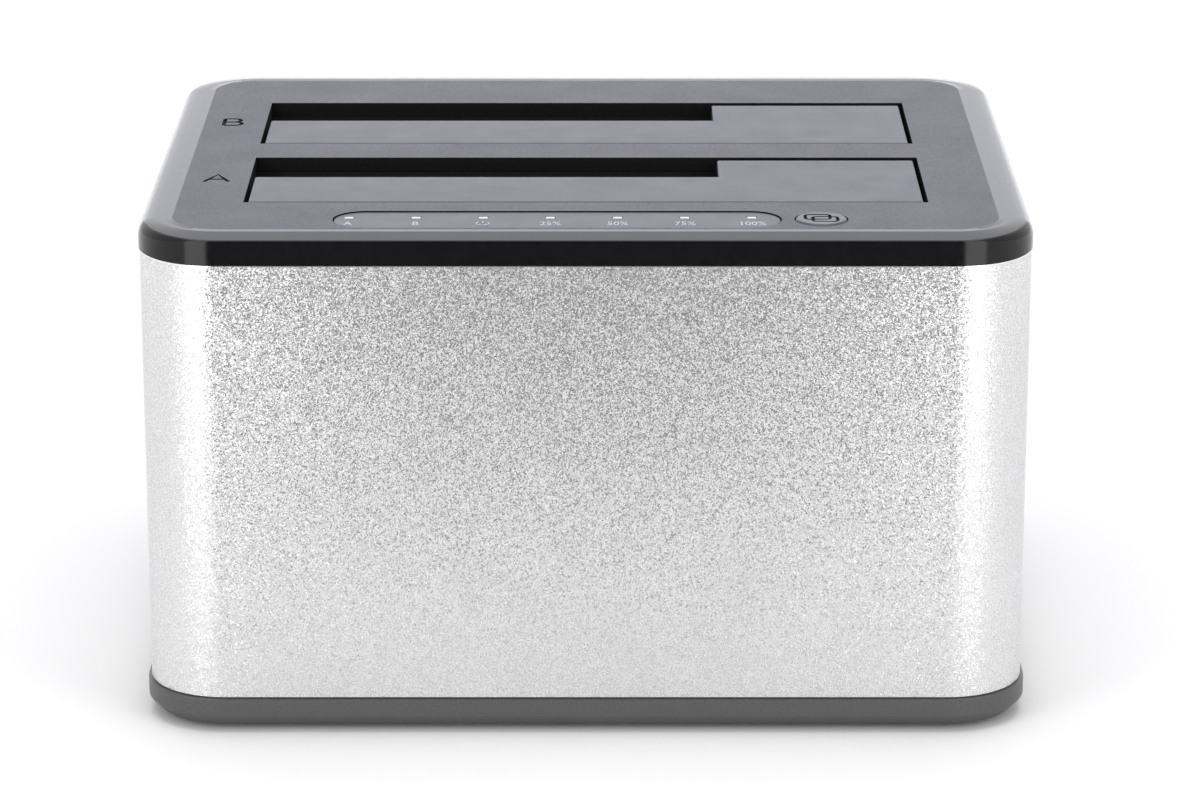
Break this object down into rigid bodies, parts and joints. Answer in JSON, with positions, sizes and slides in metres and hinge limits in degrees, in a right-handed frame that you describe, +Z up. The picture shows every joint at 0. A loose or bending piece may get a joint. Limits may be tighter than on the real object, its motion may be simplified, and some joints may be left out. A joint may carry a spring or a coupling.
{
  "type": "hard drive docking station",
  "caption": "Desktop dock for bare hard drives: metal sleeve between a plastic cover and base, drive slots on top with sprung notched flaps, indicator strip and copy button.",
  "frame": {"origin": "centre of the footprint, on the surface that the feet stand on", "axes": "+X to the right as seen from the front, -Y towards the front with the indicator strip, +Z up out of the drive slots"},
  "size_m": [0.135, 0.108, 0.0782],
  "materials": {
    "sandblasted_aluminium": "fine sandblasted, clear anodised",
    "cover_plastic": "fine grain on top, glossy rim",
    "base_plastic": "fine grain",
    "foot_rubber": "matte",
    "cage_plastic": "matte",
    "flap_plastic": "satin",
    "screw_steel": "zinc plated",
    "pin_steel": "ground",
    "spring_steel": "drawn wire",
    "strip_plastic": "satin",
    "clear_plastic": "clear, frosted ends",
    "board_laminate": "solder mask",
    "led_white": "lens",
    "chip_black": "moulded epoxy",
    "button_plastic": "satin",
    "switch_black": "moulded",
    "plunger_plastic": "moulded",
    "ribbon_grey": "smooth",
    "header_nylon": "moulded",
    "connector_black": "moulded",
    "contact_gold": "gold flash",
    "capacitor_can": "sleeved can",
    "inductor_ferrite": "pressed ferrite",
    "crystal_can": "pressed can",
    "port_steel": "tin plated",
    "port_blue": "moulded",
    "rocker_plastic": "semi gloss"
  },
  "bodies": {
    "case": {"sleeve": "sandblasted_aluminium", "top_cover": "cover_plastic", "base_tray": "base_plastic", "rubber_feet": "foot_rubber", "drive_cage": "cage_plastic", "cage_screws": "screw_steel", "case_screws": "screw_steel", "hinge_pin_a": "pin_steel", "hinge_pin_b": "pin_steel", "flap_springs_a": "spring_steel", "flap_springs_b": "spring_steel", "indicator_strip": "strip_plastic", "light_guide": "clear_plastic", "led_board": "board_laminate", "status_leds": "led_white", "led_resistors": "chip_black", "led_board_screws": "screw_steel", "push_switch": "switch_black", "ribbon_cable": "ribbon_grey", "upper_header": "header_nylon", "lower_header": "header_nylon", "main_board": "board_laminate", "board_screws": "screw_steel", "sata_socket_a": "connector_black", "sata_socket_b": "connector_black", "sata_contacts_a": "contact_gold", "sata_contacts_b": "contact_gold", "bridge_chip": "chip_black", "capacitors": "capacitor_can", "inductors": "inductor_ferrite", "crystal": "crystal_can", "usb_shell": "port_steel", "usb_insert": "port_blue", "power_inlet": "connector_black", "power_inlet_pin": "contact_gold", "power_switch_housing": "switch_black"},
    "flap_a": {"flap_a": "flap_plastic"},
    "flap_b": {"flap_b": "flap_plastic"},
    "clone_button": {"clone_button": "button_plastic", "switch_plunger": "plunger_plastic"},
    "power_rocker": {"power_rocker": "rocker_plastic"}
  },
  "joints": [
    {"name": "flap_a_hinge", "type": "hinge", "parent": "case", "child": "flap_a", "pos_m": [0, -0.0373, 0.0737], "axis": [-1, 0, 0], "range_deg": [0, 90], "stiffness_Nm_per_rad": 0.004, "springref_deg": -51.57, "deforming": ["flap_springs_a"]},
    {"name": "flap_b_hinge", "type": "hinge", "parent": "case", "child": "flap_b", "pos_m": [0, -0.0001, 0.0737], "axis": [-1, 0, 0], "range_deg": [0, 90], "stiffness_Nm_per_rad": 0.004, "springref_deg": -51.57, "deforming": ["flap_springs_b"]},
    {"name": "clone_button_press", "type": "slide", "parent": "case", "child": "clone_button", "axis": [0, 0, -1], "range_m": [0, 0.0006], "stiffness_N_per_m": 700, "springref_m": -0.0005},
    {"name": "power_rocker_tilt", "type": "hinge", "parent": "case", "child": "power_rocker", "pos_m": [0.036, 0.05081, 0.01285], "axis": [0, 0, 1], "range_deg": [0, 14]}
  ]
}
